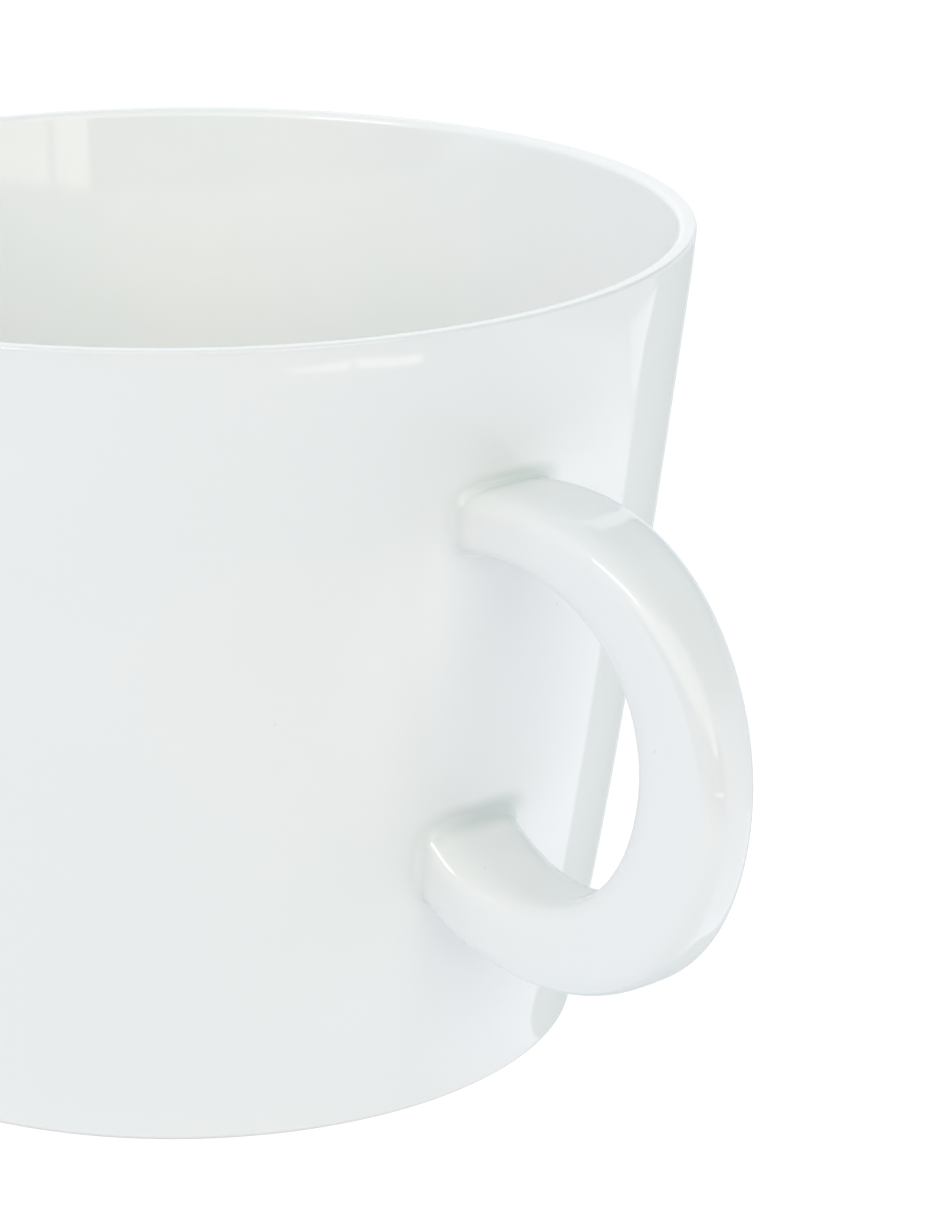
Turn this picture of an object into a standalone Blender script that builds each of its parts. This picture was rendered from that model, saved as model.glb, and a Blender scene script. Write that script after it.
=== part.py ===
# Porcelain coffee cup: a flared body, and a loop handle luted to its side with two slip joints.
# Metres, +Z up. The cup stands on z = 0 with its handle towards +X.

import math

import bmesh
import bpy
from mathutils import Vector

# Body
RIM_RADIUS = 0.0425
FOOT_RADIUS = 0.03275
CUP_HEIGHT = 0.0679
WALL_BULGE = 0.0014  # fullness of the wall past a straight line from rim to foot
WALL_TURN = 4  # power of the late turn of the wall towards the foot
LIP_WALL = 0.0021
FOOT_WALL = 0.0040
LIP_OUTER_EDGE_RADIUS = 0.0006
LIP_INNER_EDGE_RADIUS = 0.0003
FLOOR_THICKNESS = 0.0042
FLOOR_CORNER_RADIUS = 0.009
FOOT_BAND_HEIGHT = 0.0012
FOOT_EDGE_RADIUS = 0.0005
FOOT_RING_WIDTH = 0.0036
RECESS_DEPTH = 0.0016
RECESS_COVE_RADIUS = 0.0011

# Handle: its centre line runs from the wall out to the grip and back to the wall
UPPER_ROOT_BELOW_RIM = 0.01598
UPPER_ROOT_RISE = math.radians(9.2)
UPPER_ROOT_PULL = 0.01584
GRIP_REACH = 0.01966  # out past the rim
GRIP_BELOW_UPPER_ROOT = 0.01915
GRIP_LEAN = math.radians(9.7)  # the grip's foot leans in towards the cup
GRIP_UPPER_PULL = 0.01072
GRIP_LOWER_PULL = 0.01472
LOWER_ROOT_BELOW_UPPER_ROOT = 0.02937
LOWER_ROOT_DROP = math.radians(35.9)
LOWER_ROOT_PULL = 0.01034

# Handle sections: depth lies in the plane of the loop, breadth across it
UPPER_ROOT_DEPTH = 0.00517
UPPER_ROOT_BREADTH = 0.00949
GRIP_DEPTH = 0.00913
GRIP_BREADTH = 0.00534
LOWER_ROOT_DEPTH = 0.00623
LOWER_ROOT_BREADTH = 0.00964
SECTION_SQUARENESS = 3.7  # power of the superellipse: 2 is an oval
ROOT_RUN = 0.0045  # length of the straight run between a seated end and its first free section

# Slip joints
JOINT_GAP = 0.0003
SLIP_THICKNESS = 0.0009
SLIP_BEAD = 0.0007  # how far the bead spreads round the handle's end

# Facets
TURN_STEPS = 80
WALL_STEPS = 10
CORNER_STEPS = 6
EDGE_STEPS = 3
SECTION_STEPS = 32
FREE_SECTIONS = 34
BEAD_STEPS = 3
CAP_RINGS = 3
PATH_STEPS = 400
SEAT_HALVINGS = 50
MERGE_DISTANCE = 0.00001
SLOPE_PROBE = 0.0001  # height step for reading a wall's slope


def clear_scene():
    for old in list(bpy.data.objects):
        bpy.data.objects.remove(old, do_unlink=True)


def porcelain(name, colour, roughness):
    material = bpy.data.materials.new(name)
    material.use_nodes = True
    shader = material.node_tree.nodes["Principled BSDF"]
    shader.inputs["Base Color"].default_value = (*colour, 1)
    shader.inputs["Roughness"].default_value = roughness
    shader.inputs["Metallic"].default_value = 0
    return material


def finish_piece(name, mesh, parent, material):
    mesh.materials.append(material)
    mesh.shade_smooth()
    piece = bpy.data.objects.new(name, mesh)
    bpy.context.collection.objects.link(piece)
    piece.parent = parent
    return piece


# Cup body

def outer_radius(height):
    share = (CUP_HEIGHT - height) / (CUP_HEIGHT - FOOT_BAND_HEIGHT)
    straight = RIM_RADIUS + (FOOT_RADIUS - RIM_RADIUS) * share
    return straight + WALL_BULGE * (share - share**WALL_TURN)


def inner_radius(height):
    share = (CUP_HEIGHT - height) / CUP_HEIGHT
    return outer_radius(height) - LIP_WALL - (FOOT_WALL - LIP_WALL) * share


def lean_of(radius_at, height):
    run = radius_at(height + SLOPE_PROBE) - radius_at(height - SLOPE_PROBE)
    return math.atan(run / (2 * SLOPE_PROBE))


def arc(centre, radius, start, end, steps):
    """Points (radius, height) on an arc, with its angles measured from the outward direction."""
    points = []
    for step in range(steps + 1):
        angle = start + (end - start) * step / steps
        points.append((centre[0] + radius * math.cos(angle), centre[1] + radius * math.sin(angle)))
    return points


def wall_run(radius_at, start, end):
    heights = [start + (end - start) * step / WALL_STEPS for step in range(1, WALL_STEPS)]
    return [(radius_at(height), height) for height in heights]


def body_profile():
    """The half section from the middle of the floor, over the lip and down to the underside."""
    quarter = math.pi / 2
    floor = RECESS_DEPTH + FLOOR_THICKNESS

    corner_lean = lean_of(inner_radius, floor + FLOOR_CORNER_RADIUS)
    wall_start = floor + FLOOR_CORNER_RADIUS * (1 - math.sin(corner_lean))
    corner_centre = (
        inner_radius(wall_start) - FLOOR_CORNER_RADIUS * math.cos(corner_lean),
        floor + FLOOR_CORNER_RADIUS,
    )
    lip_lean = lean_of(outer_radius, CUP_HEIGHT)
    inner_lip = CUP_HEIGHT - LIP_INNER_EDGE_RADIUS * (1 - math.sin(lip_lean))
    outer_lip = CUP_HEIGHT - LIP_OUTER_EDGE_RADIUS * (1 + math.sin(lip_lean))
    inner_run = LIP_INNER_EDGE_RADIUS * math.cos(lip_lean)
    outer_run = LIP_OUTER_EDGE_RADIUS * math.cos(lip_lean)
    foot_inner = FOOT_RADIUS - FOOT_RING_WIDTH

    profile = [(0, floor)]
    profile += arc(corner_centre, FLOOR_CORNER_RADIUS, -quarter, -corner_lean, CORNER_STEPS)
    profile += wall_run(inner_radius, wall_start, inner_lip)
    profile += arc(
        (inner_radius(inner_lip) + inner_run, CUP_HEIGHT - LIP_INNER_EDGE_RADIUS),
        LIP_INNER_EDGE_RADIUS, 2 * quarter - lip_lean, quarter, EDGE_STEPS,
    )
    profile += arc(
        (outer_radius(outer_lip) - outer_run, CUP_HEIGHT - LIP_OUTER_EDGE_RADIUS),
        LIP_OUTER_EDGE_RADIUS, quarter, -lip_lean, EDGE_STEPS,
    )
    profile += wall_run(outer_radius, outer_lip, FOOT_BAND_HEIGHT)
    profile += [(FOOT_RADIUS, FOOT_BAND_HEIGHT)]
    profile += arc(
        (FOOT_RADIUS - FOOT_EDGE_RADIUS, FOOT_EDGE_RADIUS),
        FOOT_EDGE_RADIUS, 0, -quarter, EDGE_STEPS,
    )
    profile += arc(
        (foot_inner + FOOT_EDGE_RADIUS, FOOT_EDGE_RADIUS),
        FOOT_EDGE_RADIUS, -quarter, -2 * quarter, EDGE_STEPS,
    )
    profile += arc(
        (foot_inner - RECESS_COVE_RADIUS, RECESS_DEPTH - RECESS_COVE_RADIUS),
        RECESS_COVE_RADIUS, 0, quarter, EDGE_STEPS,
    )
    profile += [(0, RECESS_DEPTH)]
    return profile


def make_body(parent):
    build = bmesh.new()
    points = [build.verts.new((radius, 0, height)) for radius, height in body_profile()]
    for first, second in zip(points, points[1:]):
        build.edges.new((first, second))
    mesh = bpy.data.meshes.new("cup_body")
    build.to_mesh(mesh)
    build.free()
    body = finish_piece("cup_body", mesh, parent, porcelain("white_glaze", (0.86, 0.88, 0.88), 0.08))
    turn = body.modifiers.new("turn", "SCREW")
    turn.axis = "Z"
    turn.steps = TURN_STEPS
    turn.render_steps = TURN_STEPS
    turn.use_merge_vertices = True
    turn.merge_threshold = MERGE_DISTANCE
    turn.use_smooth_shade = True
    return body


# Handle path and sections

def on_wall(height):
    return Vector((outer_radius(height), 0, height))


def bezier(points, share):
    rest = 1 - share
    return (
        rest**3 * points[0]
        + 3 * rest**2 * share * points[1]
        + 3 * rest * share**2 * points[2]
        + share**3 * points[3]
    )


def handle_path():
    """Closely spaced points of the centre line with, for each, its place from 0 at the upper root
    to 1 at the grip and 2 at the lower root."""
    upper = on_wall(CUP_HEIGHT - UPPER_ROOT_BELOW_RIM)
    lower = on_wall(upper.z - LOWER_ROOT_BELOW_UPPER_ROOT)
    grip = Vector((RIM_RADIUS + GRIP_REACH, 0, upper.z - GRIP_BELOW_UPPER_ROOT))
    rise = Vector((math.cos(UPPER_ROOT_RISE), 0, math.sin(UPPER_ROOT_RISE)))
    drop = Vector((math.cos(LOWER_ROOT_DROP), 0, -math.sin(LOWER_ROOT_DROP)))
    down = Vector((-math.sin(GRIP_LEAN), 0, -math.cos(GRIP_LEAN)))
    out_arc = (upper, upper + UPPER_ROOT_PULL * rise, grip - GRIP_UPPER_PULL * down, grip)
    back_arc = (grip, grip + GRIP_LOWER_PULL * down, lower + LOWER_ROOT_PULL * drop, lower)
    path = []
    for part, points in enumerate((out_arc, back_arc)):
        curve = [bezier(points, step / PATH_STEPS) for step in range(PATH_STEPS + 1)]
        runs = [(b - a).length for a, b in zip(curve, curve[1:])]
        walked = 0
        for point, run in zip(curve, runs):
            path.append((point, part + walked / sum(runs)))
            walked += run
    path.append((lower, 2))
    return path


def eased(first, last, share):
    return first + (last - first) * share * share * (3 - 2 * share)


def section_sizes(place):
    if place < 1:
        return (
            eased(UPPER_ROOT_DEPTH, GRIP_DEPTH, place),
            eased(UPPER_ROOT_BREADTH, GRIP_BREADTH, place),
        )
    return (
        eased(GRIP_DEPTH, LOWER_ROOT_DEPTH, place - 1),
        eased(GRIP_BREADTH, LOWER_ROOT_BREADTH, place - 1),
    )


def section_ring(centre, along, depth, breadth):
    """A superellipse square to the path, its depth in the plane of the loop."""
    across = Vector((0, 1, 0))
    outward = along.cross(across)
    power = 2 / SECTION_SQUARENESS
    ring = []
    for step in range(SECTION_STEPS):
        angle = 2 * math.pi * step / SECTION_STEPS
        cosine = math.cos(angle)
        sine = math.sin(angle)
        deep = math.copysign(abs(cosine) ** power, cosine) * depth / 2
        broad = math.copysign(abs(sine) ** power, sine) * breadth / 2
        ring.append(centre + outward * deep + across * broad)
    return ring


def seated(point, along, stand_off):
    """The point slid along a root's direction until it stands off the wall by the given amount."""
    low = -CUP_HEIGHT / 2
    high = CUP_HEIGHT / 2
    for _ in range(SEAT_HALVINGS):
        middle = (low + high) / 2
        spot = point + along * middle
        if math.hypot(spot.x, spot.y) < outer_radius(spot.z) + stand_off:
            low = middle
        else:
            high = middle
    return point + along * high


def root_ring(root, stand_off, spread=0, share=1):
    """One ring of a root, spread past the section or shrunk to a share of it, seated on the wall."""
    depth, breadth = section_sizes(root["place"])
    deep = share * (depth + 2 * spread)
    broad = share * (breadth + 2 * spread)
    ring = section_ring(root["centre"], root["travel"], deep, broad)
    return [seated(point, root["outward"], stand_off) for point in ring]


def root_cap(root, stand_off, spread=0):
    """The seated rings of an end face, from its middle outwards."""
    shares = [ring / CAP_RINGS for ring in range(1, CAP_RINGS)]
    middle = seated(root["centre"], root["outward"], stand_off)
    return [[middle]] + [root_ring(root, stand_off, spread, share) for share in shares]


def loft(name, rings):
    """A closed skin over the rings. The first and last rings are single points."""
    build = bmesh.new()
    rows = [[build.verts.new(point) for point in ring] for ring in rings]
    for row, following in zip(rows, rows[1:]):
        for step in range(SECTION_STEPS):
            turn = (step + 1) % SECTION_STEPS
            corners = [row[step % len(row)], row[turn % len(row)]]
            corners += [following[turn % len(following)], following[step % len(following)]]
            build.faces.new(list(dict.fromkeys(corners)))
    bmesh.ops.recalc_face_normals(build, faces=build.faces)
    mesh = bpy.data.meshes.new(name)
    build.to_mesh(mesh)
    build.free()
    return mesh


def handle_roots(path):
    """Each end of the path, with its direction of travel and its direction away from the wall."""
    leaving = (path[1][0] - path[0][0]).normalized()
    arriving = (path[-1][0] - path[-2][0]).normalized()
    upper = {"centre": path[0][0], "place": path[0][1], "travel": leaving, "outward": leaving}
    lower = {"centre": path[-1][0], "place": path[-1][1], "travel": arriving, "outward": -arriving}
    return upper, lower


def free_sections(path):
    """Sections at even steps along the path, clear of both seated ends."""
    runs = [(b[0] - a[0]).length for a, b in zip(path, path[1:])]
    first = ROOT_RUN
    last = sum(runs) - ROOT_RUN
    rings = []
    walked = 0
    for (here, place), (ahead, _), run in zip(path, path[1:], runs):
        wanted = first + (last - first) * len(rings) / (FREE_SECTIONS - 1)
        if walked >= wanted and len(rings) < FREE_SECTIONS:
            rings.append(section_ring(here, (ahead - here).normalized(), *section_sizes(place)))
        walked += run
    return rings


def make_handle(path, parent):
    upper, lower = handle_roots(path)
    stand_off = JOINT_GAP + SLIP_THICKNESS + JOINT_GAP
    rings = root_cap(upper, stand_off)
    rings.append(root_ring(upper, stand_off))
    rings += free_sections(path)
    rings.append(root_ring(lower, stand_off))
    rings += reversed(root_cap(lower, stand_off))
    mesh = loft("handle", rings)
    return finish_piece("handle", mesh, parent, porcelain("handle_glaze", (0.86, 0.88, 0.88), 0.08))


def make_slip_joint(name, root, parent):
    """A layer on the wall whose edge sweeps up in a hollow bead to the handle's end."""
    top = JOINT_GAP + SLIP_THICKNESS
    rings = root_cap(root, JOINT_GAP, SLIP_BEAD)
    for step in range(BEAD_STEPS + 1):
        angle = math.pi / 2 * step / BEAD_STEPS
        spread = SLIP_BEAD * (1 - math.sin(angle))
        rings.append(root_ring(root, JOINT_GAP + SLIP_THICKNESS * (1 - math.cos(angle)), spread))
    rings += reversed(root_cap(root, top))
    mesh = loft(name, rings)
    return finish_piece(name, mesh, parent, porcelain(name + "_glaze", (0.84, 0.86, 0.86), 0.08))


def main():
    clear_scene()
    cup_axis = bpy.data.objects.new("cup_axis", None)
    bpy.context.collection.objects.link(cup_axis)
    make_body(cup_axis)
    path = handle_path()
    handle = make_handle(path, cup_axis)
    upper, lower = handle_roots(path)
    make_slip_joint("upper_slip_joint", upper, cup_axis)
    make_slip_joint("lower_slip_joint", lower, cup_axis)
    # The origin is midway between the lip's far side and the handle's outermost point.
    lip_reach = max(radius for radius, height in body_profile())
    reach = max(vertex.co.x for vertex in handle.data.vertices)
    cup_axis.location.x = (lip_reach - reach) / 2


main()
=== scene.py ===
import math

import bmesh
import bpy
from mathutils import Matrix, Vector, geometry


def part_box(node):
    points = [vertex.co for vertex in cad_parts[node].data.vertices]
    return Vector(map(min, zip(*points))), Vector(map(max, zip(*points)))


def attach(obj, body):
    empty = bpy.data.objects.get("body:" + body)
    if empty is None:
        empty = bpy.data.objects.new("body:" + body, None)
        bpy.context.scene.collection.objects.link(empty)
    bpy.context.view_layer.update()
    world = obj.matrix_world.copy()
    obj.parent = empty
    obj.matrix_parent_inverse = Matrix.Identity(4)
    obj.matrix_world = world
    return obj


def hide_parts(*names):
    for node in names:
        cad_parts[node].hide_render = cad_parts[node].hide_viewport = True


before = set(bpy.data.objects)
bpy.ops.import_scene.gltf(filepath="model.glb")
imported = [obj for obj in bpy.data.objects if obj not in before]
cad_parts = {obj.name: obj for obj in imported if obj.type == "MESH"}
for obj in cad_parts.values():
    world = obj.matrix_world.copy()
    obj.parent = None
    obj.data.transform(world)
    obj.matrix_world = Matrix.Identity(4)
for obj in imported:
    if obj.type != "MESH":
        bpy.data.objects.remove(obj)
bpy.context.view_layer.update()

cupLow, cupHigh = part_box("cup_body")
axisX = (cupLow.x + cupHigh.x) / 2  # the cup's upright axis stands at (axisX, 0)
print("frame loaded, cup axis at x =", round(axisX, 5))


def clearSelection():
    if bpy.context.mode != "OBJECT":
        bpy.ops.object.mode_set(mode="OBJECT")
    bpy.ops.object.select_all(action="DESELECT")


def openForEdit(piece, kind):
    clearSelection()
    piece.select_set(True)
    bpy.context.view_layer.objects.active = piece
    bpy.ops.object.mode_set(mode="EDIT")
    bpy.ops.mesh.select_mode(type=kind)


def applyPlace(piece):
    clearSelection()
    piece.select_set(True)
    bpy.context.view_layer.objects.active = piece
    bpy.ops.object.transform_apply(location=True, rotation=True, scale=True)


def applyAll(piece):
    bpy.context.view_layer.objects.active = piece
    for name in [modifier.name for modifier in piece.modifiers]:
        bpy.ops.object.modifier_apply(modifier=name)


def smoothShade(piece, angle):
    clearSelection()
    piece.select_set(True)
    bpy.context.view_layer.objects.active = piece
    bpy.ops.object.shade_smooth_by_angle(angle=math.radians(angle))


# Cup body: one shell turned round the axis
cup = {
    "rimRadius": 0.0425,
    "footRadius": 0.03275,
    "height": 0.0679,
    "bulge": 0.0014,  # fullness of the wall past a straight line from rim to foot
    "turn": 4,  # power of the late turn towards the foot
    "lipWall": 0.0016,
    "footWall": 0.0040,
    "lipRoll": 0.00013,  # how far the wall's outside rolls in over its last stretch under the lip
    "lipRollRun": 0.005,
    "lipOuterEdge": 0.0003,
    "lipInnerEdge": 0.0007,
    "floorThickness": 0.0042,
    "floorCorner": 0.009,
    "footBand": 0.0012,
    "footEdge": 0.0005,
    "ringWidth": 0.0036,
    "recess": 0.0016,
    "cove": 0.0011,
    "segments": 256,
    "wallSteps": 52,
    "wallCrowding": 1.7,  # above 1 the rings lie closer together towards the lip
    "cornerSteps": 14,
    "edgeSteps": 14,
    "weld": 0.000005,  # points closer than this are merged
    "smoothAngle": 60,
}


def wallRadius(height):
    share = (cup["height"] - height) / (cup["height"] - cup["footBand"])
    straight = cup["rimRadius"] + (cup["footRadius"] - cup["rimRadius"]) * share
    return straight + cup["bulge"] * (share - share ** cup["turn"])


def outerRadius(height):
    rolled = max(0, 1 - (cup["height"] - height) / cup["lipRollRun"])
    return wallRadius(height) - cup["lipRoll"] * rolled ** 2


def innerRadius(height):
    share = (cup["height"] - height) / cup["height"]
    return wallRadius(height) - cup["lipWall"] - (cup["footWall"] - cup["lipWall"]) * share


def leanOf(radiusAt, height):
    step = 0.0001
    return math.atan((radiusAt(height + step) - radiusAt(height - step)) / (2 * step))


def arcPoints(centre, radius, start, end, steps):
    angles = [start + (end - start) * step / steps for step in range(steps + 1)]
    return [(centre[0] + radius * math.cos(a), centre[1] + radius * math.sin(a)) for a in angles]


def wallPoints(radiusAt, foot, lip):
    count = cup["wallSteps"]
    shares = [(1 - step / count) ** cup["wallCrowding"] for step in range(1, count)]
    heights = [lip + (foot - lip) * share for share in shares]
    return [(radiusAt(height), height) for height in heights]


def cupProfile():
    # (radius, height) from the recess under the foot, up outside, over the lip, down to the floor
    quarter = math.pi / 2
    floor = cup["recess"] + cup["floorThickness"]
    cornerLean = leanOf(innerRadius, floor + cup["floorCorner"])
    wallStart = floor + cup["floorCorner"] * (1 - math.sin(cornerLean))
    cornerX = innerRadius(wallStart) - cup["floorCorner"] * math.cos(cornerLean)
    innerLean = leanOf(innerRadius, cup["height"])
    outerLean = leanOf(outerRadius, cup["height"] - cup["lipOuterEdge"])
    innerEdge = cup["lipInnerEdge"]
    outerEdge = cup["lipOuterEdge"]
    innerLip = cup["height"] - innerEdge * (1 - math.sin(innerLean))
    outerLip = cup["height"] - outerEdge * (1 + math.sin(outerLean))
    footInner = cup["footRadius"] - cup["ringWidth"]
    edge = cup["footEdge"]

    coveMiddle = (footInner - cup["cove"], cup["recess"] - cup["cove"])
    points = arcPoints(coveMiddle, cup["cove"], quarter, 0, cup["edgeSteps"])
    points += arcPoints((footInner + edge, edge), edge, 2 * quarter, 3 * quarter, cup["edgeSteps"])
    points += arcPoints((cup["footRadius"] - edge, edge), edge, -quarter, 0, cup["edgeSteps"])
    points += [(cup["footRadius"], cup["footBand"])]
    points += wallPoints(outerRadius, cup["footBand"], outerLip)
    outerX = outerRadius(outerLip) - outerEdge * math.cos(outerLean)
    outerMiddle = (outerX, cup["height"] - outerEdge)
    points += arcPoints(outerMiddle, outerEdge, -outerLean, quarter, cup["edgeSteps"])
    innerX = innerRadius(innerLip) + innerEdge * math.cos(innerLean)
    innerMiddle = (innerX, cup["height"] - innerEdge)
    points += arcPoints(innerMiddle, innerEdge, quarter, 2 * quarter - innerLean, cup["edgeSteps"])
    points += reversed(wallPoints(innerRadius, wallStart, innerLip))
    cornerMiddle = (cornerX, floor + cup["floorCorner"])
    points += arcPoints(cornerMiddle, cup["floorCorner"], -cornerLean, -quarter, cup["cornerSteps"])
    return points


def turnCup():
    profile = cupProfile()
    clearSelection()
    bpy.ops.mesh.primitive_circle_add(
        vertices=cup["segments"], radius=profile[0][0], fill_type="TRIFAN",
        location=(axisX, 0, profile[0][1]),
    )
    piece = bpy.context.object
    piece.name = "cupShell"
    applyPlace(piece)
    openForEdit(piece, "EDGE")
    bpy.ops.mesh.select_all(action="DESELECT")
    build = bmesh.from_edit_mesh(piece.data)
    for edge in build.edges:
        edge.select_set(edge.is_boundary)
    bmesh.update_edit_mesh(piece.data)
    for (radius, height), (nextRadius, nextHeight) in zip(profile, profile[1:]):
        rise = (0, 0, nextHeight - height)
        spread = nextRadius / radius
        bpy.ops.mesh.extrude_edges_move(TRANSFORM_OT_translate={"value": rise})
        bpy.ops.transform.resize(
            value=(spread, spread, 1), orient_type="GLOBAL", center_override=(axisX, 0, nextHeight)
        )
    bpy.ops.mesh.edge_face_add()  # the floor inside
    bpy.ops.mesh.select_mode(type="FACE")
    bpy.ops.mesh.poke()
    bpy.ops.mesh.select_all(action="SELECT")
    bpy.ops.mesh.remove_doubles(threshold=cup["weld"])
    bpy.ops.mesh.normals_make_consistent(inside=False)
    bpy.ops.object.mode_set(mode="OBJECT")
    smoothShade(piece, cup["smoothAngle"])
    return piece


cupShell = turnCup()
print("cup turned:", len(cupShell.data.polygons), "faces")

# Loop handle: a rounded bar, swelled at its ends, bent along a curve and cut off inside the wall
loop = {
    "upperBelowRim": 0.01598,
    "upperRise": 9.2,
    "upperPull": 0.01584,
    "gripReach": 0.01966,  # out past the rim
    "gripBelowUpper": 0.01915,
    "gripLean": 9.7,
    "gripUpperPull": 0.01072,
    "gripLowerPull": 0.01472,
    "lowerBelowUpper": 0.02937,
    "lowerDrop": 35.9,
    "lowerPull": 0.01034,
    "upperSize": (0.00517, 0.00949),  # depth in the plane of the loop, breadth across it
    "gripSize": (0.00913, 0.00534),
    "lowerSize": (0.00623, 0.00964),
    "squareness": 3.7,  # power of the rounded section: 2 is an oval
    "runIn": 0.006,  # straight length inside the wall before it is cut off
    "sink": 0.0009,  # how deep in the wall the ends stop
    "cornerSteps": 36,
    "stations": 180,
    "guideSteps": 96,
    "measureSteps": 400,  # points that the bends' lengths are measured on
    "smoothAngle": 50,
}


def handlePoints():
    rim = cup["rimRadius"]
    upperZ = cup["height"] - loop["upperBelowRim"]
    lowerZ = upperZ - loop["lowerBelowUpper"]
    rise = math.radians(loop["upperRise"])
    drop = math.radians(loop["lowerDrop"])
    lean = math.radians(loop["gripLean"])
    upper = Vector((outerRadius(upperZ), upperZ))
    lower = Vector((outerRadius(lowerZ), lowerZ))
    grip = Vector((rim + loop["gripReach"], upperZ - loop["gripBelowUpper"]))
    outward = Vector((math.cos(rise), math.sin(rise)))
    back = Vector((math.cos(drop), -math.sin(drop)))
    down = Vector((-math.sin(lean), -math.cos(lean)))
    return {
        "upper": upper, "lower": lower, "grip": grip,
        "outward": outward, "back": back,
        "upperPull": upper + loop["upperPull"] * outward,
        "gripFrom": grip - loop["gripUpperPull"] * down,
        "gripTo": grip + loop["gripLowerPull"] * down,
        "lowerPull": lower + loop["lowerPull"] * back,
    }


def bendLength(spots, *names):
    corners = [spots[name] for name in names]
    points = geometry.interpolate_bezier(*corners, loop["measureSteps"])
    return sum((b - a).length for a, b in zip(points, points[1:]))


def eased(first, last, share):
    return first + (last - first) * share * share * (3 - 2 * share)


def sectionSize(place):
    # place runs from 0 at the upper root to 1 at the grip and 2 at the lower root
    place = min(max(place, 0), 2)
    pair = ("upperSize", "gripSize") if place < 1 else ("gripSize", "lowerSize")
    share = place if place < 1 else place - 1
    return [eased(a, b, share) for a, b in zip(loop[pair[0]], loop[pair[1]])]


def layGuide(spots):
    clearSelection()
    bpy.ops.curve.primitive_bezier_curve_add(location=(0, 0, 0))
    guide = bpy.context.object
    guide.data.dimensions = "2D"
    guide.data.resolution_u = loop["guideSteps"]
    bpy.ops.object.mode_set(mode="EDIT")
    bpy.ops.curve.select_all(action="SELECT")
    bpy.ops.curve.subdivide(number_cuts=3)
    bpy.ops.object.mode_set(mode="OBJECT")
    start = spots["upper"] - loop["runIn"] * spots["outward"]
    end = spots["lower"] - loop["runIn"] * spots["back"]
    third = loop["runIn"] / 3
    rows = [
        (start - third * spots["outward"], start, start + third * spots["outward"]),
        (spots["upper"] - third * spots["outward"], spots["upper"], spots["upperPull"]),
        (spots["gripFrom"], spots["grip"], spots["gripTo"]),
        (spots["lowerPull"], spots["lower"], spots["lower"] - third * spots["back"]),
        (end + third * spots["back"], end, end - third * spots["back"]),
    ]
    for point, row in zip(guide.data.splines[0].bezier_points, rows):
        point.handle_left_type = "FREE"
        point.handle_right_type = "FREE"
        left, middle, right = [(spot.x, spot.y, 0) for spot in row]
        point.co = middle
        point.handle_left = left
        point.handle_right = right
    return guide


def bendHandle():
    spots = handlePoints()
    upperRun = bendLength(spots, "upper", "upperPull", "gripFrom", "grip")
    lowerRun = bendLength(spots, "grip", "gripTo", "lowerPull", "lower")
    whole = upperRun + lowerRun + 2 * loop["runIn"]

    def sizeAt(along):
        past = along - loop["runIn"]
        place = past / upperRun if past < upperRun else 1 + (past - upperRun) / lowerRun
        return sectionSize(place)

    clearSelection()
    bpy.ops.mesh.primitive_plane_add(size=1, rotation=(0, math.pi / 2, 0))
    piece = bpy.context.object
    piece.name = "loopHandle"
    applyPlace(piece)
    openForEdit(piece, "VERT")
    bpy.ops.mesh.select_all(action="SELECT")
    bpy.ops.mesh.bevel(
        offset=0.5, offset_type="OFFSET", affect="VERTICES", segments=loop["cornerSteps"],
        profile=4 ** (-1 / loop["squareness"]),
    )
    bpy.ops.mesh.select_all(action="SELECT")
    bpy.ops.mesh.remove_doubles(threshold=0.001)
    depth, breadth = sizeAt(0)
    bpy.ops.mesh.select_all(action="SELECT")
    bpy.ops.transform.resize(
        value=(1, depth, breadth), orient_type="GLOBAL", center_override=(0, 0, 0)
    )
    bpy.ops.mesh.select_mode(type="EDGE")
    bpy.ops.mesh.select_all(action="SELECT")
    bpy.ops.mesh.delete(type="ONLY_FACE")
    bpy.ops.mesh.select_all(action="SELECT")
    step = whole / loop["stations"]
    for station in range(loop["stations"]):
        newDepth, newBreadth = sizeAt((station + 1) * step)
        bpy.ops.mesh.extrude_edges_move(TRANSFORM_OT_translate={"value": (step, 0, 0)})
        bpy.ops.transform.resize(
            value=(1, newDepth / depth, newBreadth / breadth), orient_type="GLOBAL",
            center_override=((station + 1) * step, 0, 0),
        )
        depth, breadth = newDepth, newBreadth
    bpy.ops.object.mode_set(mode="OBJECT")

    guide = layGuide(spots)
    bend = piece.modifiers.new("bend", "CURVE")
    bend.object = guide
    bend.deform_axis = "POS_X"
    applyAll(piece)
    bpy.data.objects.remove(guide, do_unlink=True)
    piece.rotation_euler = (math.pi / 2, 0, 0)  # stand the loop upright
    piece.location = (axisX, 0, 0)
    applyPlace(piece)

    # cut both ends off along one line just inside the wall
    along = spots["upper"] - spots["lower"]
    cutNormal = Vector((along.y, 0, -along.x)).normalized()
    cutPoint = Vector((axisX + spots["upper"].x, 0, spots["upper"].y)) - loop["sink"] * cutNormal
    openForEdit(piece, "VERT")
    bpy.ops.mesh.select_all(action="SELECT")
    bpy.ops.mesh.bisect(
        plane_co=cutPoint, plane_no=cutNormal, use_fill=True, clear_inner=True, clear_outer=False
    )
    bpy.ops.mesh.select_all(action="SELECT")
    bpy.ops.mesh.normals_make_consistent(inside=False)
    bpy.ops.object.mode_set(mode="OBJECT")
    smoothShade(piece, loop["smoothAngle"])
    return piece


loopHandle = bendHandle()
print("handle bent:", len(loopHandle.data.polygons), "faces")

# Slip joints: a hollow bead of slip swept round each root, from the wall up to the handle
slip = {
    "spread": 0.0007,
    "sink": 0.00003,  # how far the bead's thin edges lie under the wall's and the handle's skin
    "overlap": 0.0004,  # how far the bead runs on inside the wall and the handle
    "sweepSteps": 10,
    "roundSteps": 72,
    "slide": 0.02,  # how far along the root, either way, the wall is looked for
    "slideSteps": 40,
    "smoothAngle": 40,
}


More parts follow.
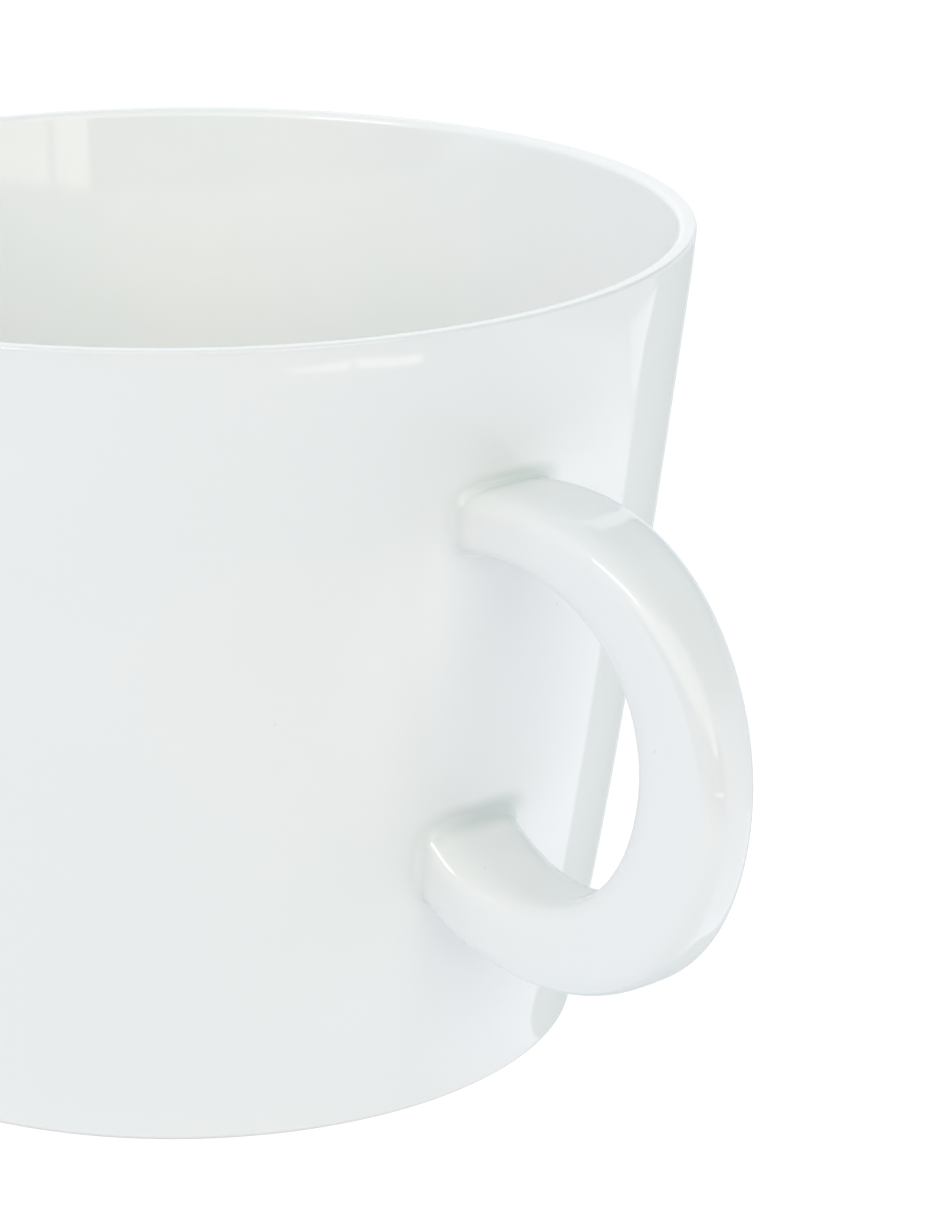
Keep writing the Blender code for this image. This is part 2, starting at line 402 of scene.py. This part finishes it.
def squareOff(part, power):
    return math.copysign(abs(part) ** power, part)


def rootRing(root, size, spread, standOff):
    # the handle's section, spread outwards and slid along the root until it meets the wall
    power = 2 / loop["squareness"]
    along = root["along"]
    up = Vector((-along.z, 0, along.x))
    ring = []
    for step in range(slip["roundSteps"]):
        angle = 2 * math.pi * step / slip["roundSteps"]
        deep = squareOff(math.cos(angle), power) * (size[0] / 2 + spread)
        broad = squareOff(math.sin(angle), power) * (size[1] / 2 + spread)
        spot = root["centre"] + up * deep + Vector((0, broad, 0))
        low, high = -slip["slide"], slip["slide"]
        for _ in range(slip["slideSteps"]):
            middle = (low + high) / 2
            trial = spot + along * middle
            inside = math.hypot(trial.x - axisX, trial.y) < outerRadius(trial.z) + standOff
            low, high = (middle, high) if inside else (low, middle)
        ring.append(spot + along * high)
    return ring


def layBead(name, root, size):
    spread = slip["spread"]
    over = slip["overlap"]
    rings = [rootRing(root, size, spread, -over)]
    for step in range(slip["sweepSteps"] + 1):
        angle = math.pi / 2 * step / slip["sweepSteps"]
        out = spread * (1 - math.sin(angle)) - slip["sink"]
        off = spread * (1 - math.cos(angle)) - slip["sink"]
        rings.append(rootRing(root, size, out, off))
    rings.append(rootRing(root, size, -over, spread))
    rings.append(rootRing(root, size, -over, -over))

    clearSelection()
    bpy.ops.mesh.primitive_circle_add(vertices=slip["roundSteps"], radius=size[0])
    piece = bpy.context.object
    piece.name = name
    openForEdit(piece, "VERT")
    bpy.ops.mesh.select_all(action="SELECT")
    for number, ring in enumerate(rings):
        if number:
            bpy.ops.mesh.extrude_edges_move(TRANSFORM_OT_translate={"value": (0, 0, 0)})
        build = bmesh.from_edit_mesh(piece.data)
        build.verts.ensure_lookup_table()
        start = number * slip["roundSteps"]
        for vert, spot in zip(build.verts[start:], ring):
            vert.co = spot
        bmesh.update_edit_mesh(piece.data)
    build = bmesh.from_edit_mesh(piece.data)
    for edge in build.edges:
        edge.select_set(edge.is_boundary)
    bmesh.update_edit_mesh(piece.data)
    bpy.ops.mesh.select_mode(type="EDGE")
    bpy.ops.mesh.bridge_edge_loops()
    bpy.ops.mesh.select_all(action="SELECT")
    bpy.ops.mesh.normals_make_consistent(inside=False)
    bpy.ops.object.mode_set(mode="OBJECT")
    applyPlace(piece)
    smoothShade(piece, slip["smoothAngle"])
    return piece


handleSpots = handlePoints()
upperRoot = {
    "centre": Vector((axisX + handleSpots["upper"].x, 0, handleSpots["upper"].y)),
    "along": Vector((handleSpots["outward"].x, 0, handleSpots["outward"].y)),
}
lowerRoot = {
    "centre": Vector((axisX + handleSpots["lower"].x, 0, handleSpots["lower"].y)),
    "along": Vector((handleSpots["back"].x, 0, handleSpots["back"].y)),
}
upperBead = layBead("upperBead", upperRoot, loop["upperSize"])
lowerBead = layBead("lowerBead", lowerRoot, loop["lowerSize"])
print("slip beads laid:", len(upperBead.data.polygons) + len(lowerBead.data.polygons), "faces")

# Glaze: one node group shared by every piece, in metres on Object coordinates, with painted shade
# in the joints
glaze = {
    "white": (0.912, 0.910, 0.896),
    "cool": (0.893, 0.903, 0.889),  # where the coat lies a little thicker
    "pooledShade": (0.71, 0.755, 0.73),  # glaze gathered in the joints, darkened further as painted shade in the crease
    "poolShadeSides": 0.2,  # how much of the pooled glaze and its painted shade stays at the near side and below
    "biscuit": (0.80, 0.775, 0.72),  # the foot ring's bare standing edge
    "speck": (0.80, 0.81, 0.80),
    "specks": [  # place and radius of the small pits in the coat
        ((0.02636, 0.00731, 0.04264), 0.00017),
        ((0.02206, -0.01764, 0.03711), 0.00012),
        ((0.04871, -0.00286, 0.03894), 0.00015),
        ((0.02887, -0.00220, 0.02353), 0.00014),
    ],
    "speckFade": (1.2, 0.2),  # where a pit's edge starts and ends, as shares of its radius
    "cloudScale": 40,  # slow drift of the tint
    "cloudEdges": (0.35, 0.65),
    "waveScale": 75,  # slow unevenness of the coat
    "waveHeight": 0.000004,
    "waveEdges": (0.3, 0.7),
    "peelScale": 700,  # fine orange peel
    "peelHeight": 0.0000006,
    "roughness": (0.03, 0.075),
    "bareRoughness": 0.55,
    "bareHeight": (0.00045, 0.00015),  # the coat ends between these heights over the table
    "ior": 1.5,
    "gloss": 0.5,
    "edgeFade": (0.62, 0.92),  # the gloss fades where the surface turns away from the eye
    "poolShadeReach": (1.42, 1.0),  # the edge of the pooled glaze and painted shade on the wall, as shares of the root's size
    "poolShadeClimb": (0.0017, 0.0002),  # its edge on the handle, off the wall
    "poolShadeDepth": (-0.0015, -0.0006),  # its edge under the wall's skin
    "poolShadeTop": (0.3, 1.0),  # glaze and painted shade gather above the root
    "poolShadeAcross": (-1.2, 0.3),  # and the painted shade thins out towards the lit near side
    "poolShadeRise": 0.00035,  # the joints hold more glaze and painted shade on their upper sides
    "poolShadeFront": 0.01,  # it fades in over this way out from the axis
}


def mathNode(tree, operation, *values):
    node = tree.nodes.new("ShaderNodeMath")
    node.operation = operation
    for socket, value in zip(node.inputs, values):
        if isinstance(value, (int, float)):
            socket.default_value = value
        else:
            tree.links.new(value, socket)
    return node.outputs[0]


def vectorNode(tree, operation, first, second):
    node = tree.nodes.new("ShaderNodeVectorMath")
    node.operation = operation
    tree.links.new(first, node.inputs[0])
    node.inputs[1].default_value = second
    return node.outputs["Value" if operation in ("DOT_PRODUCT", "DISTANCE") else "Vector"]


def softStep(tree, value, low, high, first=0, last=1):
    node = tree.nodes.new("ShaderNodeMapRange")
    node.interpolation_type = "SMOOTHSTEP"
    names = ("From Min", "From Max", "To Min", "To Max")
    for name, number in zip(names, (low, high, first, last)):
        node.inputs[name].default_value = number
    tree.links.new(value, node.inputs["Value"])
    return node.outputs[0]


def mixColour(tree, factor, first, second):
    node = tree.nodes.new("ShaderNodeMix")
    node.data_type = "RGBA"
    for name, value in (("Factor", factor), ("A", first), ("B", second)):
        if isinstance(value, tuple):
            node.inputs[name].default_value = (*value, 1)
        else:
            tree.links.new(value, node.inputs[name])
    return node.outputs["Result"]


def cloud(tree, place, scale, detail):
    node = tree.nodes.new("ShaderNodeTexNoise")
    node.inputs["Scale"].default_value = scale
    node.inputs["Detail"].default_value = detail
    tree.links.new(place, node.inputs["Vector"])
    return node.outputs["Fac"]


def poolShadeMask(tree, place, root, size):
    # 1 in the corner between wall and root, where pooled glaze and painted shade lie, fading out
    # over the wall and along the handle
    along = root["along"]
    up = Vector((-along.z, 0, along.x))
    middle = root["centre"] + glaze["poolShadeRise"] * up
    fromRoot = vectorNode(tree, "SUBTRACT", place, middle)
    raised = vectorNode(tree, "DOT_PRODUCT", fromRoot, up * 2 / size[0])
    deep = mathNode(tree, "ABSOLUTE", raised)
    across = vectorNode(tree, "DOT_PRODUCT", fromRoot, Vector((0, 2 / size[1], 0)))
    broad = mathNode(tree, "ABSOLUTE", across)
    power = loop["squareness"]
    total = mathNode(
        tree, "ADD", mathNode(tree, "POWER", deep, power), mathNode(tree, "POWER", broad, power)
    )
    reach = mathNode(tree, "POWER", total, 1 / power)
    # painted shade: more above the root, less towards the near side where light falls
    above = mathNode(
        tree, "MULTIPLY",
        softStep(tree, raised, *glaze["poolShadeTop"]),
        softStep(tree, across, *glaze["poolShadeAcross"]),
    )
    gatheredShade = mathNode(tree, "MULTIPLY_ADD", above, 1 - glaze["poolShadeSides"], glaze["poolShadeSides"])
    return mathNode(tree, "MULTIPLY", gatheredShade, softStep(tree, reach, *glaze["poolShadeReach"]))


def glazeGroup():
    group = bpy.data.node_groups.new("glazeSkin", "ShaderNodeTree")
    group.interface.new_socket(name="Place", in_out="INPUT", socket_type="NodeSocketVector")
    group.interface.new_socket(name="Colour", in_out="OUTPUT", socket_type="NodeSocketColor")
    group.interface.new_socket(name="Roughness", in_out="OUTPUT", socket_type="NodeSocketFloat")
    group.interface.new_socket(name="Height", in_out="OUTPUT", socket_type="NodeSocketFloat")
    place = group.nodes.new("NodeGroupInput").outputs["Place"]
    split = group.nodes.new("ShaderNodeSeparateXYZ")
    group.links.new(place, split.inputs[0])
    height = split.outputs["Z"]

    tint = softStep(group, cloud(group, place, glaze["cloudScale"], 2), *glaze["cloudEdges"])
    colour = mixColour(group, tint, glaze["white"], glaze["cool"])

    # pooled glaze with painted shade in the joints, only on the handle's side and not on the wall's
    # inside
    fromAxis = vectorNode(group, "SUBTRACT", place, (axisX, 0, 0))
    flat = vectorNode(group, "MULTIPLY", fromAxis, (1, 1, 0))
    radial = vectorNode(group, "DISTANCE", flat, (0, 0, 0))
    upper, lower = handleSpots["upper"], handleSpots["lower"]
    slope = (upper.x - lower.x) / (upper.y - lower.y)
    wall = mathNode(group, "MULTIPLY_ADD", height, slope, upper.x - slope * upper.y)
    off = mathNode(group, "SUBTRACT", radial, wall)
    near = mathNode(
        group, "MULTIPLY",
        softStep(group, off, *glaze["poolShadeClimb"]),
        softStep(group, off, *glaze["poolShadeDepth"]),
    )
    front = softStep(group, split.outputs["X"], axisX, axisX + glaze["poolShadeFront"])
    poolShade = mathNode(
        group, "MAXIMUM",
        poolShadeMask(group, place, upperRoot, loop["upperSize"]),
        poolShadeMask(group, place, lowerRoot, loop["lowerSize"]),
    )
    poolShade = mathNode(group, "MULTIPLY", poolShade, mathNode(group, "MULTIPLY", near, front))
    # mix in the pooled glaze colour, darkened as painted shade in the crease
    colour = mixColour(group, poolShade, colour, glaze["pooledShade"])

    for spot, radius in glaze["specks"]:
        away = vectorNode(group, "DISTANCE", place, spot)
        pit = softStep(group, away, *[radius * share for share in glaze["speckFade"]])
        colour = mixColour(group, pit, colour, glaze["speck"])

    bare = softStep(group, height, *glaze["bareHeight"])
    colour = mixColour(group, bare, colour, glaze["biscuit"])
    uneven = cloud(group, place, glaze["waveScale"], 1)
    shine = softStep(group, uneven, *glaze["waveEdges"], *glaze["roughness"])
    rough = mathNode(group, "MULTIPLY_ADD", bare, glaze["bareRoughness"], shine)
    slow = cloud(group, place, glaze["waveScale"], 0)
    fine = cloud(group, place, glaze["peelScale"], 1)
    wave = mathNode(group, "MULTIPLY", slow, glaze["waveHeight"])
    peel = mathNode(group, "MULTIPLY", fine, glaze["peelHeight"])

    result = group.nodes.new("NodeGroupOutput")
    group.links.new(colour, result.inputs["Colour"])
    group.links.new(rough, result.inputs["Roughness"])
    group.links.new(mathNode(group, "ADD", wave, peel), result.inputs["Height"])
    return group


def glazedPorcelain(name, skin):
    material = bpy.data.materials.new(name)
    material.use_nodes = True
    tree = material.node_tree
    shader = tree.nodes["Principled BSDF"]
    shader.inputs["IOR"].default_value = glaze["ior"]
    place = tree.nodes.new("ShaderNodeTexCoord")
    coat = tree.nodes.new("ShaderNodeGroup")
    coat.node_tree = skin
    tree.links.new(place.outputs["Object"], coat.inputs["Place"])
    tree.links.new(coat.outputs["Colour"], shader.inputs["Base Color"])
    tree.links.new(coat.outputs["Roughness"], shader.inputs["Roughness"])
    facing = tree.nodes.new("ShaderNodeLayerWeight").outputs["Facing"]
    gloss = softStep(tree, facing, *glaze["edgeFade"], glaze["gloss"], 0)
    tree.links.new(gloss, shader.inputs["Specular IOR Level"])
    bump = tree.nodes.new("ShaderNodeBump")
    bump.inputs["Strength"].default_value = 1
    bump.inputs["Distance"].default_value = 1
    tree.links.new(coat.outputs["Height"], bump.inputs["Height"])
    tree.links.new(bump.outputs["Normal"], shader.inputs["Normal"])
    return material


glazeSkin = glazeGroup()
for piece, slot, node in (
    (cupShell, "body_glaze", "cup_body"),
    (loopHandle, "handle_glaze", "handle"),
    (upperBead, "joint_glaze", "upper_slip_joint"),
    (lowerBead, "joint_glaze", "lower_slip_joint"),
):
    piece.data.materials.clear()
    piece.data.materials.append(glazedPorcelain(piece.name + "Glaze", glazeSkin))
    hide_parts(node)
    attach(piece, "root")
print("pieces glazed and riding on the root body")

# Studio: a pale floor that only the camera sees, and soft panels of light all round and below
studio = {
    "floorSize": 6,
    "floorWhite": 0.85,  # how much of the floor's white is its own
    "floorShade": 0.25,  # how much it takes from the light, so that the cup's shadow shows faintly
    "floorDrop": 0.00002,  # keeps it just clear of the foot ring
    "floorRoughness": 0.9,
    # name, degrees round from the camera, degrees up, softness round and up, colour
    "panels": [
        ("lightTable", (-180, 180), (-90, 90), (5, 5), (1.00, 1.05, 1.10)),
        ("room", (-180, 180), (2, 90), (6, 6), (0.98, 1.01, 1.17)),
        ("ceiling", (-180, 180), (58, 90), (8, 8), (0.47, 0.55, 0.63)),
        ("frontFill", (-60, 48), (13, 54), (8, 8), (1.68, 1.67, 1.50)),
        ("leftBack", (-178, -112), (4, 54), (8, 8), (1.29, 1.28, 1.24)),
        ("leftFill", (-105, -62), (-5, 20), (8, 8), (0.96, 1.04, 1.24)),
        ("frontFlag", (-66, 62), (-21, 7), (6, 6), (0.00, 0.00, 0.05)),
        ("underRight", (82, 140), (-60, -15), (8, 6), (1.32, 1.34, 1.39)),
        ("rightFlag", (62, 168), (16, 75), (8, 8), (0.28, 0.37, 0.40)),
        ("rightBand", (88, 134), (-21.5, 12), (6, 0.8), (0.94, 0.94, 0.97)),
        ("rightSlot", (131, 196), (-90, -13), (1.2, 1.5), (0.59, 0.65, 0.62)),
        ("backdrop", (160.3, 206), (-8, 44), (0.8, 3), (1.25, 1.25, 1.26)),
        ("window", (22, 46), (1, 16), (0.6, 0.5), (2.20, 2.15, 1.95)),
        ("windowBar", (30.3, 32.0), (1, 18), (0.5, 0.5), (0.90, 0.90, 0.90)),
    ],
    # small bright panes that show only as glints: light and corners
    "cards": [
        (3.0, [  # two under the lip
            (0.13, -0.0116, 0.0200), (0.13, 0.0231, 0.0191),
            (0.13, 0.0249, 0.0164), (0.13, -0.0096, 0.0171),
        ]),
        (3.0, [
            (0.13, -0.0485, 0.0142), (0.13, -0.0140, 0.0196),
            (0.13, -0.0120, 0.0168), (0.13, -0.0485, 0.0136),
        ]),
        (8.0, [  # one along the handle's edge
            (-0.072, -0.433, 0.442), (0.127, -0.437, 0.442),
            (0.140, -0.499, 0.359), (-0.088, -0.495, 0.359),
        ]),
        (1.4, [  # one low on the right of the wall
            (0.0053, 0.2271, -0.001), (0.0476, 0.1881, -0.001),
            (0.0261, 0.1659, -0.001), (0.0188, 0.1694, -0.001),
        ]),
    ],
    "cardTint": (1, 1, 0.97),
}

# Camera place, fitted to the outlines of the rim, wall, foot and handle in a 940 x 1215 picture
view = {
    "side": 37.145,  # degrees from the handle round to the camera's foot
    "distance": 0.36885,
    "height": 0.1565,
    "pitch": 0.3208,
    "yaw": 0.0650,
    "roll": 0.0056,
    "lens": 136.32,
    "sensor": 36,
    "clipStart": 0.01,
}


def layFloor():
    clearSelection()
    below = (0, 0, -studio["floorDrop"])
    bpy.ops.mesh.primitive_plane_add(size=studio["floorSize"], location=below)
    floor = bpy.context.object
    floor.name = "paleFloor"
    material = bpy.data.materials.new("paleFloor")
    material.use_nodes = True
    shader = material.node_tree.nodes["Principled BSDF"]
    shade = studio["floorShade"]
    shader.inputs["Base Color"].default_value = (shade, shade, shade, 1)
    shader.inputs["Roughness"].default_value = studio["floorRoughness"]
    shader.inputs["Specular IOR Level"].default_value = 0
    shader.inputs["Emission Color"].default_value = (1, 1, 1, 1)
    shader.inputs["Emission Strength"].default_value = studio["floorWhite"]
    floor.data.materials.append(material)
    floor.visible_diffuse = False
    floor.visible_glossy = False
    floor.visible_shadow = False


def hangCards():
    for number, (light, corners) in enumerate(studio["cards"]):
        clearSelection()
        bpy.ops.mesh.primitive_plane_add(size=0.01)
        card = bpy.context.object
        card.name = "card" + str(number)
        face = card.data.polygons[0]
        for index, corner in zip(face.vertices, corners):
            card.data.vertices[index].co = corner
        material = bpy.data.materials.new(card.name + "Light")
        material.use_nodes = True
        shader = material.node_tree.nodes["Principled BSDF"]
        shader.inputs["Base Color"].default_value = (0, 0, 0, 1)
        shader.inputs["Specular IOR Level"].default_value = 0
        shader.inputs["Emission Color"].default_value = (*studio["cardTint"], 1)
        shader.inputs["Emission Strength"].default_value = light
        card.data.materials.append(material)
        card.visible_camera = False
        card.visible_diffuse = False
        card.visible_shadow = False


def hangPanels():
    world = bpy.data.worlds.new("studio")
    bpy.context.scene.world = world
    world.use_nodes = True
    tree = world.node_tree
    tree.nodes.clear()
    link = tree.links.new

    direction = tree.nodes.new("ShaderNodeTexCoord").outputs["Generated"]
    split = tree.nodes.new("ShaderNodeSeparateXYZ")
    link(direction, split.inputs[0])
    climb = split.outputs["Z"]
    flat = vectorNode(tree, "MULTIPLY", direction, (1, 1, 0))
    level = vectorNode(tree, "NORMALIZE", flat, (0, 0, 0))

    def upSine(degrees):
        return math.sin(math.radians(min(max(degrees, -90), 90)))

    light = None
    for name, (left, right), (low, high), (softRound, softUp), colour in studio["panels"]:
        masks = []
        if right - left < 360:
            middle = math.radians((left + right) / 2 - view["side"])
            half = (right - left) / 2
            turn = vectorNode(tree, "DOT_PRODUCT", level, (math.cos(middle), math.sin(middle), 0))
            outside = math.cos(math.radians(half + softRound))
            inside = math.cos(math.radians(max(half - softRound, 0)))
            masks.append(softStep(tree, turn, outside, inside))
        if low > -90:
            masks.append(softStep(tree, climb, upSine(low - softUp), upSine(low + softUp)))
        if high < 90:
            masks.append(softStep(tree, climb, upSine(high + softUp), upSine(high - softUp)))
        mix = tree.nodes.new("ShaderNodeMix")
        mix.data_type = "RGBA"
        mix.name = name
        mix.inputs["Factor"].default_value = 1
        if masks:
            mask = masks[0]
            for other in masks[1:]:
                mask = mathNode(tree, "MULTIPLY", mask, other)
            link(mask, mix.inputs["Factor"])
        if light:
            link(light, mix.inputs["A"])
        mix.inputs["B"].default_value = (*colour, 1)
        light = mix.outputs["Result"]

    glow = tree.nodes.new("ShaderNodeBackground")
    link(light, glow.inputs["Color"])
    white = tree.nodes.new("ShaderNodeBackground")
    white.inputs["Color"].default_value = (1, 1, 1, 1)
    seen = tree.nodes.new("ShaderNodeLightPath")
    choose = tree.nodes.new("ShaderNodeMixShader")
    link(seen.outputs["Is Camera Ray"], choose.inputs[0])
    link(glow.outputs[0], choose.inputs[1])
    link(white.outputs[0], choose.inputs[2])
    output = tree.nodes.new("ShaderNodeOutputWorld")
    link(choose.outputs[0], output.inputs["Surface"])


layFloor()
hangCards()
hangPanels()
bpy.context.scene.view_settings.view_transform = "Standard"
print("studio set:", len(studio["panels"]), "panels,", len(studio["cards"]), "cards")


def setCamera():
    side = math.radians(view["side"])
    right = Vector((math.sin(side), math.cos(side), 0))
    ahead = Vector((-math.cos(side), math.sin(side), 0))
    up = Vector((0, 0, 1))
    pitch, yaw, roll = view["pitch"], view["yaw"], view["roll"]
    look = math.cos(pitch) * (math.sin(yaw) * right + math.cos(yaw) * ahead) - math.sin(pitch) * up
    level = math.cos(yaw) * right - math.sin(yaw) * ahead
    over = level.cross(look)
    sideways = math.cos(roll) * level + math.sin(roll) * over
    upwards = math.cos(roll) * over - math.sin(roll) * level
    spot = Vector((axisX, 0, 0)) - view["distance"] * ahead + view["height"] * up
    lens = bpy.data.cameras.new("camera")
    lens.sensor_fit = "VERTICAL"
    lens.sensor_height = view["sensor"]
    lens.lens = view["lens"]
    lens.clip_start = view["clipStart"]
    camera = bpy.data.objects.new("camera", lens)
    turn = Matrix((sideways, upwards, -look)).transposed()
    camera.matrix_world = Matrix.Translation(spot) @ turn.to_4x4()
    bpy.context.scene.collection.objects.link(camera)
    bpy.context.scene.camera = camera


setCamera()
print("camera set")
